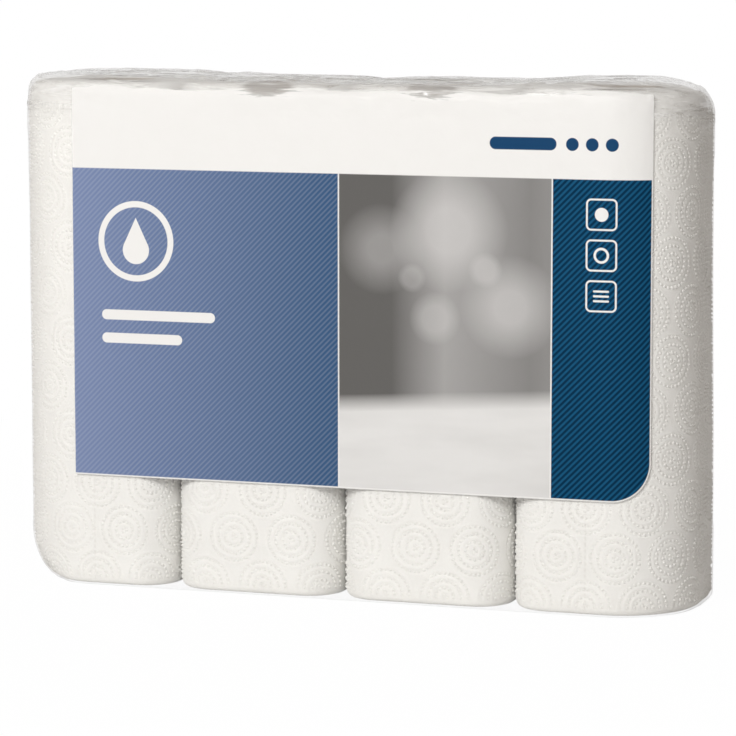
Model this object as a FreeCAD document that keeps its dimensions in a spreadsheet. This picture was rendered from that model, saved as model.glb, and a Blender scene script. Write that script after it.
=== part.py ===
import FreeCAD, Part
import math
import os

import Sketcher

# Sealed pack of paper towel rolls, standing on end in a row and wrapped in one clear film.
# The row runs along X, its printed front faces -Y, and the pack stands on Z = 0.

# Driving dimensions in millimetres and degrees: alias, value, meaning.
SIZES = (
    ("roll_count", 4, "rolls in the row"),
    ("roll_height", 260, "width of the paper web, which is the height of a standing roll"),
    ("roll_width", 89.8, "a roll pressed between its neighbours, along the row"),
    ("roll_depth", 100, "a roll from front to back"),
    ("roll_gap", 0.2, "air between two neighbouring rolls"),
    ("corner_radius", 20, "corners of a roll where it meets a neighbour"),
    ("end_radius", 42, "outer corners of the first and last roll"),
    ("end_bulge", 0.7, "how far the first and last roll swell past the pressed width"),
    ("top_rim", 6, "crushed slope of the paper at the top rim"),
    ("bottom_rim", 3, "crushed slope of the paper at the bottom rim"),
    ("crush_reach", 12, "crushed lower left corner, from the end face along the base"),
    ("crush_angle", 59, "slope of the crushed corner above the base"),
    ("core_diameter", 44, "outside of the cardboard core"),
    ("core_wall", 1, "cardboard of the core"),
    ("core_clearance", 0.15, "between core and paper, all round"),
    ("core_inset", 1, "core end below the paper's end, top and bottom"),
    ("turn_count", 3, "grooves between turns that show on each end"),
    ("turn_groove", 0.9, "width of a groove between turns"),
    ("turn_depth", 1.2, "depth of a groove between turns"),
    ("tail_thickness", 0.6, "loose end of the outer sheet"),
    ("tail_start", 22, "angle from the neighbour's side at which the tail begins"),
    ("tail_sweep", 50, "angle that the tail covers on the rounded corner"),
    ("film_thickness", 0.5, "film, thickened from the real one"),
    ("film_clearance", 0.3, "between film and paper"),
    ("film_shoulder", 8, "rounding of the film over the top rim"),
    ("fold_thickness", 0.4, "one more layer of film at a fold or a seal"),
    ("fold_height", 46, "folded flap from the base or the top of an end face"),
    ("weld_width", 16, "welded strip between the two flaps of an end face"),
    ("lap_width", 14, "lap seal along the back"),
    ("lap_height", 38, "lap seal above the base"),
    ("valley_start", 21, "from the row's middle line to where the film sinks over a gap"),
    ("valley_slope", 11, "angle at which a valley sinks towards the rim"),
    ("valley_height", 10, "side of the valley's wedge above its crease"),
    ("valley_width", 20, "valley's wedge across, at that height"),
    ("pleat_count", 19, "gathered pleats along the straight rim, front and back"),
    ("pleat_length", 9, "pleat across the top rim"),
    ("pleat_width", 5, "foot of a pleat along the rim"),
    ("pleat_height", 1.3, "ridge of a pleat above the film"),
    ("pleat_foot", 2, "foot of a pleat under the film's surface"),
    ("pleat_stray", 2.5, "how far a pleat strays from even spacing"),
)
END_PLEAT_ANGLES = (12, 33, 58, 79)

doc = FreeCAD.newDocument("paper_towel_roll_pack")
sheet = doc.addObject("Spreadsheet::Sheet", "sizes")
for row, (alias, value, meaning) in enumerate(SIZES, start=1):
    sheet.set("A%d" % row, meaning)
    sheet.set("B%d" % row, str(value))
    sheet.setAlias("B%d" % row, alias)
doc.recompute()

ROLL_COUNT = int(sheet.roll_count)
FIRST = 0
LAST = ROLL_COUNT - 1

PITCH = "(sizes.roll_width + sizes.roll_gap)"
HALF_WIDTH = "sizes.roll_width / 2"
HALF_DEPTH = "sizes.roll_depth / 2"
FLOOR_TO_PAPER = "(sizes.film_thickness + sizes.film_clearance)"
PACK_HEIGHT = "(sizes.roll_height + 2 * %s)" % FLOOR_TO_PAPER
CHAMFER_SHARE = "(2 - sqrt(2))"
HALF_LENGTH = "((sizes.roll_count - 1) / 2 * %s + %s + sizes.end_bulge)" % (PITCH, HALF_WIDTH)
INNER_OFFSET = "sizes.film_clearance"
OUTER_OFFSET = FLOOR_TO_PAPER
FOLD_OFFSET = "(%s + sizes.fold_thickness)" % FLOOR_TO_PAPER

EDGE_TOLERANCE = 0.01
X_AXIS = FreeCAD.Vector(1, 0, 0)
Y_AXIS = FreeCAD.Vector(0, 1, 0)
Z_AXIS = FreeCAD.Vector(0, 0, 1)


def roll_station(index):
    """Expression for a roll's centre along the row."""
    return "(%d - (sizes.roll_count - 1) / 2) * %s" % (index, PITCH)


def bind(item, **expressions):
    """Bind an object's properties to expressions; a double underscore stands for a dot."""
    for name, expression in expressions.items():
        item.setExpression(name.replace("__", "."), expression)


def add(kind, name, **expressions):
    """Add a document object and bind its sizes."""
    item = doc.addObject(kind, name)
    bind(item, **expressions)
    return item


def fuse(name, shapes):
    """Fuse several objects."""
    item = doc.addObject("Part::MultiFuse", name)
    item.Shapes = shapes
    return item


def boolean(kind, name, base, tool):
    """Cut or intersect two objects."""
    item = doc.addObject(kind, name)
    item.Base = base
    item.Tool = tool
    return item


def outline_arc(centre_x, centre_y, radius, quarter):
    """Quarter circle of an outline; quarter counts from the front right corner."""
    circle = Part.Circle(FreeCAD.Vector(centre_x, centre_y, 0), Z_AXIS, radius)
    return Part.ArcOfCircle(circle, math.pi / 2 * (quarter - 1), math.pi / 2 * quarter)


def outline_geometry(left, right, depth, left_radius, right_radius):
    """Four lines and four arcs of a rounded outline, counter-clockwise from the front line."""
    def point(x, y):
        return FreeCAD.Vector(x, y, 0)
    right_x = right - right_radius
    left_x = left_radius - left
    right_y = depth - right_radius
    left_y = depth - left_radius
    return [
        Part.LineSegment(point(left_x, -depth), point(right_x, -depth)),
        outline_arc(right_x, -right_y, right_radius, 0),
        Part.LineSegment(point(right, -right_y), point(right, right_y)),
        outline_arc(right_x, right_y, right_radius, 1),
        Part.LineSegment(point(right_x, depth), point(left_x, depth)),
        outline_arc(left_x, left_y, left_radius, 2),
        Part.LineSegment(point(-left, left_y), point(-left, -left_y)),
        outline_arc(left_x, -left_y, left_radius, 3),
    ]


def finish_rim(body, name, kind, size, upper):
    """Fillet or chamfer the upper or the lower rim of a padded body."""
    base = body.Tip
    solid = base.Shape
    level = solid.BoundBox.ZMax if upper else solid.BoundBox.ZMin
    edges = [
        "Edge%d" % (number + 1)
        for number, edge in enumerate(solid.Edges)
        if abs(edge.BoundBox.ZMin - level) < EDGE_TOLERANCE
        and abs(edge.BoundBox.ZMax - level) < EDGE_TOLERANCE
    ]
    rim = body.newObject("PartDesign::" + kind, name)
    rim.Base = (base, edges)
    rim.setExpression({"Fillet": "Radius", "Chamfer": "Size"}[kind], size)
    doc.recompute()


def rounded_prism(name, left, right, depth, left_radius, right_radius, height):
    """Body padded from a rounded outline; every size is an expression."""
    body = doc.addObject("PartDesign::Body", name)
    floor_plane = [plane for plane in body.Origin.OriginFeatures if plane.Role == "XY_Plane"][0]
    sketch = body.newObject("Sketcher::SketchObject", name + "_outline")
    sketch.AttachmentSupport = [(floor_plane, "")]
    sketch.MapMode = "FlatFace"
    values = [sheet.evalExpression(size) for size in (left, right, depth, left_radius, right_radius)]
    sketch.addGeometry(outline_geometry(*[float(value) for value in values]), False)
    sides = 8
    for side in range(sides):
        sketch.addConstraint(Sketcher.Constraint("Tangent", side, 2, (side + 1) % sides, 1))
    for line, direction in ((0, "Horizontal"), (2, "Vertical"), (4, "Horizontal"), (6, "Vertical")):
        sketch.addConstraint(Sketcher.Constraint(direction, line))
    sketch.addConstraint(Sketcher.Constraint("Equal", 1, 3))
    sketch.addConstraint(Sketcher.Constraint("Equal", 5, 7))
    left_value, right_value, depth_value, left_radius_value, right_radius_value = values
    driven = (
        ("right_radius", ("Radius", 1, right_radius_value), right_radius),
        ("left_radius", ("Radius", 5, left_radius_value), left_radius),
        ("right", ("DistanceX", -1, 1, 2, 1, right_value), right),
        ("left", ("DistanceX", 6, 1, -1, 1, left_value), left),
        ("back", ("DistanceY", -1, 1, 4, 1, depth_value), depth),
        ("front", ("DistanceY", 0, 1, -1, 1, depth_value), depth),
    )
    for constraint_name, constraint, expression in driven:
        number = sketch.addConstraint(Sketcher.Constraint(*constraint))
        sketch.renameConstraint(number, constraint_name)
        sketch.setExpression("Constraints." + constraint_name, expression)
    pad = body.newObject("PartDesign::Pad", name + "_pad")
    pad.Profile = sketch
    pad.setExpression("Length", height)
    doc.recompute()
    return body


def turn_outline(share, groove, sides):
    """Closed wire of one turn, between the round core at share 0 and the outer sheet at share 1."""
    core = sheet.core_diameter / 2
    left, right, depth, left_radius, right_radius = [
        core + (size - core) * share + groove for size in sides
    ]
    geometry = outline_geometry(left, right, depth, left_radius, right_radius)
    return Part.Wire([piece.toShape() for piece in geometry])


def turn_grooves(name, sides):
    """Rings cut into both ends of a roll, where its turns part."""
    rings = []
    for number in range(1, int(sheet.turn_count) + 1):
        share = number / (sheet.turn_count + 1)
        ring = Part.Face([turn_outline(share, sheet.turn_groove, sides), turn_outline(share, 0, sides)])
        for level in (0, sheet.roll_height - sheet.turn_depth):
            groove = ring.extrude(Z_AXIS * sheet.turn_depth)
            groove.translate(Z_AXIS * level)
            rings.append(groove)
    grooves = doc.addObject("Part::Feature", name)
    grooves.Shape = Part.makeCompound(rings)
    return grooves


def sheet_tail(name, side):
    """Loose end of the outer sheet, lying on the back corner beside a neighbour."""
    corner_x = "(%s - sizes.corner_radius) * %d" % (HALF_WIDTH, side)
    corner_y = "%s - sizes.corner_radius" % HALF_DEPTH
    height = "sizes.roll_height - sizes.top_rim - sizes.bottom_rim"
    sector = {"Angle": "sizes.tail_sweep", "Height": height}
    place = {
        "Placement__Base__x": corner_x,
        "Placement__Base__y": corner_y,
        "Placement__Base__z": "sizes.bottom_rim",
    }
    outer = add("Part::Cylinder", name + "_outer", Radius="sizes.corner_radius + sizes.tail_thickness",
                **sector, **place)
    inner = add("Part::Cylinder", name + "_inner", Radius="sizes.corner_radius - sizes.tail_thickness",
                **sector, **place)
    angle = "sizes.tail_start" if side > 0 else "180 - sizes.tail_start - sizes.tail_sweep"
    for sector_part in (outer, inner):
        sector_part.Placement.Rotation = FreeCAD.Rotation(Z_AXIS, 1)
        sector_part.setExpression("Placement.Rotation.Angle", angle)
    return boolean("Part::Cut", name, outer, inner)


def crushed_corner(name, face, foot, inset):
    """Block beyond the slope that crushes the lower left corner; inset moves the slope inwards."""
    span = "sizes.roll_width"
    block = add("Part::Wedge", name,
                Xmin="-" + span, Xmax=span, X2min="-" + span, X2max=span,
                Ymin="-sizes.roll_depth", Ymax="sizes.roll_depth",
                Zmin="-" + inset, Zmax=span, Z2min="-" + inset, Z2max=span)
    block.Placement.Rotation = FreeCAD.Rotation(-Y_AXIS, 90)
    bind(block, Placement__Rotation__Angle="180 - sizes.crush_angle",
         Placement__Base__x="%s + sizes.crush_reach" % face, Placement__Base__z=foot)
    return block


def make_roll(index):
    """One roll of paper: pressed outline, rounded rims, bore, turns on its ends and sheet tail."""
    name = "roll_%d" % (index + 1)
    left_end = index == FIRST
    right_end = index == LAST
    swollen = "%s + sizes.end_bulge" % HALF_WIDTH
    left = swollen if left_end else HALF_WIDTH
    right = swollen if right_end else HALF_WIDTH
    left_radius = "sizes.end_radius" if left_end else "sizes.corner_radius"
    right_radius = "sizes.end_radius" if right_end else "sizes.corner_radius"
    body = rounded_prism(name + "_paper", left, right, HALF_DEPTH, left_radius, right_radius,
                         "sizes.roll_height")
    finish_rim(body, name + "_top_rim", "Chamfer", "sizes.top_rim", True)
    finish_rim(body, name + "_bottom_rim", "Chamfer", "sizes.bottom_rim", False)
    bore = add("Part::Cylinder", name + "_bore",
               Radius="sizes.core_diameter / 2 + sizes.core_clearance", Height="sizes.roll_height")
    sides = [float(sheet.evalExpression(size)) for size in
             (left, right, HALF_DEPTH, left_radius, right_radius)]
    grooves = turn_grooves(name + "_turns", sides)
    tail = sheet_tail(name + "_tail", -1 if right_end else 1)
    wound = fuse(name + "_wound", [body, tail])
    hollow = boolean("Part::Cut", name + "_hollow", wound, bore)
    if left_end:
        corner = crushed_corner(name + "_corner", "-(%s + %s)" % (left, FLOOR_TO_PAPER),
                                "-" + FLOOR_TO_PAPER, FLOOR_TO_PAPER)
        hollow = boolean("Part::Cut", name + "_crushed", hollow, corner)
    roll = boolean("Part::Cut", name, hollow, grooves)
    roll.Label = name
    bind(roll, Placement__Base__x=roll_station(index), Placement__Base__z=FLOOR_TO_PAPER)
    return roll


def make_core(index):
    """Cardboard tube inside a roll."""
    name = "core_%d" % (index + 1)
    height = "sizes.roll_height - 2 * sizes.core_inset"
    outside = add("Part::Cylinder", name + "_outside", Radius="sizes.core_diameter / 2", Height=height)
    inside = add("Part::Cylinder", name + "_inside", Radius="sizes.core_diameter / 2 - sizes.core_wall",
                 Height=height)
    core = boolean("Part::Cut", name, outside, inside)
    core.Label = name
    bind(core, Placement__Base__x=roll_station(index),
         Placement__Base__z="%s + sizes.core_inset" % FLOOR_TO_PAPER)
    return core


def film_block(name, offset, shoulder=None):
    """Solid that the taut film follows, offset from the paper; its top rim is rounded or sloped."""
    half_length = "%s + %s" % (HALF_LENGTH, offset)
    radius = "sizes.end_radius + %s" % offset
    block = rounded_prism(name, half_length, half_length, "%s + %s" % (HALF_DEPTH, offset), radius, radius,
                          "sizes.roll_height + 2 * %s" % offset)
    slope = "%s + %s * %s"
    if shoulder:
        finish_rim(block, name + "_top_rim", "Fillet", shoulder, True)
    else:
        crown = slope % ("sizes.top_rim", offset, CHAMFER_SHARE)
        finish_rim(block, name + "_top_rim", "Chamfer", crown, True)
    heel = slope % ("sizes.bottom_rim", offset, CHAMFER_SHARE)
    finish_rim(block, name + "_bottom_rim", "Chamfer", heel, False)
    block.setExpression("Placement.Base.z", "%s - %s" % (FLOOR_TO_PAPER, offset))
    return block


def end_masks():
    """Where the end faces of the pack carry one more layer: two flaps and the weld between them."""
    masks = []
    span = "sizes.end_radius + %s" % FOLD_OFFSET
    for side, side_name in ((-1, "left"), (1, "right")):
        start = "(%s - sizes.end_radius)" % HALF_LENGTH
        start += " * 1" if side > 0 else " * -1 - (%s)" % span
        for turn, level, flap_name in ((90, "0", "base"), (-90, PACK_HEIGHT, "top")):
            flap = add("Part::Wedge", "%s_%s_flap" % (side_name, flap_name),
                       Xmin="0", X2min="0", Xmax=span, X2max=span, Ymin="0", Ymax="sizes.fold_height",
                       Zmin="-%s" % HALF_DEPTH, Zmax=HALF_DEPTH,
                       Z2min="-sizes.weld_width / 2", Z2max="sizes.weld_width / 2")
            flap.Placement.Rotation = FreeCAD.Rotation(X_AXIS, turn)
            bind(flap, Placement__Base__x=start, Placement__Base__z=level)
            masks.append(flap)
        weld = add("Part::Box", "%s_weld" % side_name, Length=span, Width="sizes.weld_width",
                   Height="%s - 2 * sizes.fold_height" % PACK_HEIGHT, Placement__Base__x=start,
                   Placement__Base__y="-sizes.weld_width / 2", Placement__Base__z="sizes.fold_height")
        masks.append(weld)
    return masks


def lap_mask():
    """Where the film laps over itself along the back."""
    straight = "(%s - sizes.end_radius)" % HALF_LENGTH
    return add("Part::Box", "back_lap", Length="2 * %s" % straight, Width="sizes.roll_depth",
               Height="sizes.lap_width", Placement__Base__x="-%s" % straight,
               Placement__Base__z="sizes.lap_height")


def valleys(name, growth):
    """Wedges that sink the film over the gaps of the rolls, deeper towards the front and back rims."""
    wedges = []
    reach = "(%s + %s)" % (HALF_DEPTH, OUTER_OFFSET)
    for gap in range(LAST):
        for side, sign in (("front", -1), ("back", 1)):
            near, far = ("-" + reach, "0") if side == "front" else ("0", reach)
            wedge = add("Part::Wedge", "%s_%s_%d" % (name, side, gap + 1),
                        Xmin="-sizes.valley_width / 2", Xmax="sizes.valley_width / 2", X2min="0", X2max="0",
                        Ymin="-sizes.valley_height", Ymax="0", Zmin=near, Zmax=far, Z2min=near, Z2max=far)
            wedge.Placement.Rotation = FreeCAD.Rotation(-X_AXIS, 90)
            bind(wedge, Placement__Rotation__Angle="90 + %d * sizes.valley_slope" % sign,
                 Placement__Base__x="%s + %s / 2" % (roll_station(gap), PITCH),
                 Placement__Base__y="%d * sizes.valley_start" % sign,
                 Placement__Base__z="%s - %s * sqrt(2)" % (PACK_HEIGHT, growth))
            wedges.append(wedge)
    return wedges


def pleat(name, x, y, normal_angle):
    """Folded ridge of spare film across the top rim, at a place on the upright face's outline."""
    ridge = add("Part::Wedge", name,
                Xmin="-sizes.pleat_width / 2", Xmax="sizes.pleat_width / 2", X2min="0", X2max="0",
                Ymin="-sizes.pleat_foot", Ymax="sizes.pleat_height",
                Zmin="-sizes.pleat_length / 2", Zmax="sizes.pleat_length / 2",
                Z2min="-sizes.pleat_length / 4", Z2max="sizes.pleat_length / 4")
    outward = FreeCAD.Rotation(Z_AXIS, normal_angle).multVec(X_AXIS)
    along = Z_AXIS.cross(outward)
    upward = outward + Z_AXIS
    upward.normalize()
    ridge.Placement.Rotation = FreeCAD.Rotation(along, upward, along.cross(upward), "XYZ")
    inset = "sizes.film_shoulder * (1 - cos(45))"
    bind(ridge, Placement__Base__x="%s - %s * %f" % (x, inset, outward.x),
         Placement__Base__y="%s - %s * %f" % (y, inset, outward.y),
         Placement__Base__z="%s - %s" % (PACK_HEIGHT, inset))
    return ridge


def pleats():
    """Gathers of spare film all round the top rim: along both long sides and round both ends."""
    ridges = []
    straight = "(%s - sizes.end_radius)" % HALF_LENGTH
    count = int(sheet.pleat_count)
    for side, sign in (("front", -1), ("back", 1)):
        for number in range(count):
            share = (2 * number + 1) / count - 1
            stray = "sizes.pleat_stray * sin(%d)" % (137 * number * sign)
            ridges.append(pleat("pleat_%s_%d" % (side, number + 1),
                                "%s * %f + %s" % (straight, share, stray),
                                "%d * (%s + %s)" % (sign, HALF_DEPTH, OUTER_OFFSET), 90 * sign))
    reach = "(sizes.end_radius + %s)" % OUTER_OFFSET
    for end, turn in (("right", 0), ("left", 180)):
        for side in (-1, 1):
            for number, angle in enumerate(END_PLEAT_ANGLES, start=1):
                along = 1 if turn == 0 else -1
                normal = angle * side if turn == 0 else 180 - angle * side
                ridges.append(pleat("pleat_%s_%s_%d" % (end, "back" if side > 0 else "front", number),
                                    "%d * (%s + %s * cos(%d))" % (along, straight, reach, angle),
                                    "%d * (%s - sizes.end_radius + %s * sin(%d))" % (
                                        side, HALF_DEPTH, reach, angle), normal))
    return ridges


def make_film():
    """Clear film: a thin shell with folded ends, a lap seal, pleats and sunken valleys."""
    outer = film_block("film_outer", OUTER_OFFSET, "sizes.film_shoulder")
    inner = film_block("film_inner", INNER_OFFSET)
    second = film_block("film_second", FOLD_OFFSET, "sizes.film_shoulder + sizes.fold_thickness")
    layer = boolean("Part::Cut", "second_layer", second, outer)
    folds = boolean("Part::Common", "folds", layer, fuse("fold_masks", end_masks() + [lap_mask()]))
    dressed = fuse("film_dressed", [outer, folds] + pleats())
    face = "-(%s + %s)" % (HALF_LENGTH, OUTER_OFFSET)
    outer_corner = crushed_corner("outer_corner", face, "0", "0")
    inner_corner = crushed_corner("inner_corner", face, "0", "sizes.film_thickness")
    sunk_outer = boolean("Part::Cut", "film_outside", dressed,
                         fuse("outer_valleys", valleys("dip", "0") + [outer_corner]))
    sunk_inner = boolean("Part::Cut", "film_inside", inner,
                         fuse("inner_valleys", valleys("hollow", "sizes.film_thickness") + [inner_corner]))
    film = boolean("Part::Cut", "film_wrap", sunk_outer, sunk_inner)
    film.Label = "film_wrap"
    return film


def write(pieces):
    """Check every object, then write one file for each piece."""
    doc.recompute()
    broken = [item.Name for item in doc.Objects if {"Invalid", "Error"} & set(item.State)]
    if broken:
        raise RuntimeError("failed objects: %s" % ", ".join(broken))
    for piece in pieces:
        if piece.Shape.isNull() or not piece.Shape.isValid():
            raise RuntimeError("bad shape: %s" % piece.Label)
    os.makedirs("parts", exist_ok=True)
    for piece in pieces:
        piece.Shape.exportStep("parts/%s.step" % piece.Label)


rolls = [make_roll(index) for index in range(ROLL_COUNT)]
cores = [make_core(index) for index in range(ROLL_COUNT)]
write(rolls + cores + [make_film()])
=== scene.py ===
import logging
import math
from dataclasses import dataclass
from enum import Enum
from functools import reduce
from typing import Any, Callable, Iterable, Sequence

import bmesh
import bpy
import numpy as np
from mathutils import Matrix, Vector, noise


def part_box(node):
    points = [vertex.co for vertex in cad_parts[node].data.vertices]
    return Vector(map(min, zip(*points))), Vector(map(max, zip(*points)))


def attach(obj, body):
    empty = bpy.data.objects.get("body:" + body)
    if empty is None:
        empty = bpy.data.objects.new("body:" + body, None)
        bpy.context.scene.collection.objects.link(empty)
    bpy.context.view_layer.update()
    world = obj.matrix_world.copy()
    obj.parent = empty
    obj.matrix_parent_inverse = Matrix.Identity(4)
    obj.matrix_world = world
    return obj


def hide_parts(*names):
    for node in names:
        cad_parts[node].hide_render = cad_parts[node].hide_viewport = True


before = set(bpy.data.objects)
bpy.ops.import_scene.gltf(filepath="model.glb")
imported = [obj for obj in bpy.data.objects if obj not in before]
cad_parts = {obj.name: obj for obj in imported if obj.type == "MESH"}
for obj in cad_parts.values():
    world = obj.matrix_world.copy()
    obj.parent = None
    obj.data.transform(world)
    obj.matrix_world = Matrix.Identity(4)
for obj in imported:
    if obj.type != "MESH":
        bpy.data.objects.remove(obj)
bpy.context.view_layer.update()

MM = 0.001
WRAP_MAP = "wrap"
ROSETTE_MAP = "rosettes"
GATHER_ATTRIBUTE = "gather"
END_UP = 300.0
END_REACH = 100.0

Colour = tuple[float, float, float]
Socket = bpy.types.NodeSocket
Array = np.ndarray
Settings = dict[str, Any] | None
Inputs = dict[str | int, Any] | None
log = logging.getLogger("roll_pack")


def opaque(colour: Colour) -> tuple[float, float, float, float]:
    """The colour with full alpha, as a colour socket takes it."""
    return (*colour, 1.0)


def placed(name: str, data: bpy.types.ID) -> bpy.types.Object:
    """Make an object of that data and put it into the scene."""
    made = bpy.data.objects.new(name, data)
    bpy.context.scene.collection.objects.link(made)
    return made


def operation(name: str, turned: bool = False) -> Callable[["Signal", Any], "Signal"]:
    """Make an arithmetic method of Signal.

    Args:
        name: the Math node's operation.
        turned: whether the other number comes first.

    Returns:
        The method.
    """
    def method(signal: "Signal", other: Any) -> "Signal":
        """Add the Math node."""
        return signal.math(name, *((other, signal) if turned else (signal, other)))

    return method


class Signal:
    """A number in a node tree; arithmetic on it adds Math nodes."""

    def __init__(self, graph: "Graph", socket: Socket) -> None:
        """Keep the tree and the socket that carries the number."""
        self.graph = graph
        self.socket = socket

    def math(self, operation: str, *operands: Any, clamp: bool = False) -> "Signal":
        """Add one Math node.

        Args:
            operation: the node's operation.
            operands: its inputs in order, signals or plain numbers.
            clamp: whether the result is kept between 0 and 1.

        Returns:
            The node's result.
        """
        settings = {"operation": operation, "use_clamp": clamp}
        made = self.graph.node("ShaderNodeMath", settings, dict(enumerate(operands)))
        return Signal(self.graph, made.outputs[0])

    __add__ = __radd__ = operation("ADD")
    __sub__, __rsub__ = operation("SUBTRACT"), operation("SUBTRACT", turned=True)
    __mul__ = __rmul__ = operation("MULTIPLY")
    __truediv__, __rtruediv__ = operation("DIVIDE"), operation("DIVIDE", turned=True)
    most, least = operation("MAXIMUM"), operation("MINIMUM")
    power, wrap = operation("POWER"), operation("FLOORED_MODULO")

    def size(self) -> "Signal":
        """The number without its sign."""
        return self.math("ABSOLUTE", self)

    def part(self) -> "Signal":
        """What follows the decimal point."""
        return self.math("FRACT", self)

    def above(self, level: float, soft: float) -> "Signal":
        """1 above a level and 0 below it, with a soft edge."""
        return self.math("MULTIPLY_ADD", self, 1 / soft, 0.5 - level / soft, clamp=True)

    def below(self, level: float, soft: float) -> "Signal":
        """1 below a level and 0 above it, with a soft edge."""
        return self.math("MULTIPLY_ADD", self, -1 / soft, 0.5 + level / soft, clamp=True)


class Graph:
    """A node tree written as expressions."""

    def __init__(self, tree: bpy.types.NodeTree) -> None:
        """Keep the tree."""
        self.tree = tree

    def feed(self, socket: Socket, value: Any) -> None:
        """Link a signal or socket to an input, or set a plain value on it."""
        if isinstance(value, Signal):
            value = value.socket
        if isinstance(value, Socket):
            self.tree.links.new(value, socket)
        else:
            socket.default_value = value

    def node(self, kind: str, settings: Settings = None, sockets: Inputs = None) -> bpy.types.Node:
        """Add a node of any type.

        Args:
            kind: the node's type.
            settings: its properties, which are set first.
            sockets: its inputs by name or number, each a value, a signal or a socket.

        Returns:
            The node.
        """
        made = self.tree.nodes.new(kind)
        for name, value in (settings or {}).items():
            setattr(made, name, value)
        for name, value in (sockets or {}).items():
            self.feed(made.inputs[name], value)
        return made

    def signal(self, kind: str, settings: Settings = None, sockets: Inputs = None,
               output: str | int = 0) -> Signal:
        """Add a node and give one of its outputs as a signal."""
        return Signal(self, self.node(kind, settings, sockets).outputs[output])

    def socket(self, kind: str, settings: Settings = None, sockets: Inputs = None) -> Socket:
        """Add a node and give its first output."""
        return self.node(kind, settings, sockets).outputs[0]

    def split(self, vector: Any) -> tuple[Signal, Signal, Signal]:
        """The three parts of a vector."""
        parts = self.node("ShaderNodeSeparateXYZ", None, {0: vector})
        return tuple(Signal(self, parts.outputs[axis]) for axis in range(3))

    def join(self, x: Any = 0.0, y: Any = 0.0, z: Any = 0.0) -> Socket:
        """A vector from three numbers."""
        return self.socket("ShaderNodeCombineXYZ", None, {0: x, 1: y, 2: z})

    def blend(self, share: Any, first: Any, second: Any) -> Socket:
        """Mix two colours.

        Args:
            share: how much of the second colour shows.
            first: a colour or a colour socket.
            second: a colour or a colour socket.

        Returns:
            The mixed colour's socket.
        """
        colours = [opaque(value) if isinstance(value, tuple) else value for value in (first, second)]
        settings = {"data_type": "RGBA", "clamp_factor": True}
        return self.node("ShaderNodeMix", settings, {0: share, 6: colours[0], 7: colours[1]}).outputs[2]

    def cloud(self, vector: Any, scale: float, detail: float = 2.0, distortion: float = 0.0) -> Signal:
        """Soft noise around 0.5."""
        sockets = {"Vector": vector, "Scale": scale, "Detail": detail, "Distortion": distortion}
        return self.signal("ShaderNodeTexNoise", None, sockets)

    def distance(self, across: Signal, up: Signal) -> Signal:
        """Length of a flat vector given by its two parts."""
        return self.signal("ShaderNodeVectorMath", {"operation": "LENGTH"},
                           {0: self.join(across, up)}, "Value")


class MaterialGraph(Graph):
    """The node tree of one material."""

    def __init__(self, name: str) -> None:
        """Make an empty material of that name."""
        self.material = bpy.data.materials.new(name)
        self.material.use_nodes = True
        super().__init__(self.material.node_tree)
        self.tree.nodes.clear()

    def place(self) -> Socket:
        """Object coordinates in metres."""
        return self.node("ShaderNodeTexCoord").outputs["Object"]

    def wrapped(self) -> tuple[Signal, Signal]:
        """Place on a wrapped surface in millimetres: along the wrap and up."""
        along, up, _ = self.split(self.socket("ShaderNodeUVMap", {"uv_map": WRAP_MAP}))
        return along * (1 / MM), up * (1 / MM)

    def bump(self, height: Any, strength: float, distance: float,
             normal: Socket | None = None) -> Socket:
        """A bumped normal.

        Args:
            height: relief, 1 for a whole distance.
            strength: how much of it shows.
            distance: height of the relief in metres.
            normal: a normal that is already bumped.

        Returns:
            The normal's socket.
        """
        sockets = {"Strength": strength, "Distance": distance, "Height": height}
        if normal is not None:
            sockets["Normal"] = normal
        return self.socket("ShaderNodeBump", None, sockets)

    def finish(self, sockets: dict[str | int, Any]) -> bpy.types.Material:
        """Close the tree with one Principled shader and give the material."""
        shader = self.socket("ShaderNodeBsdfPrincipled", None, sockets)
        self.node("ShaderNodeOutputMaterial", None, {"Surface": shader})
        return self.material


class Slot(Enum):
    """The record's material slots."""

    PAPER = "paper"
    CARDBOARD = "cardboard"
    FILM = "film"


class Run(Enum):
    """The two ways that a row of mesh points can end."""

    OPEN = False
    CLOSED = True


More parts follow.
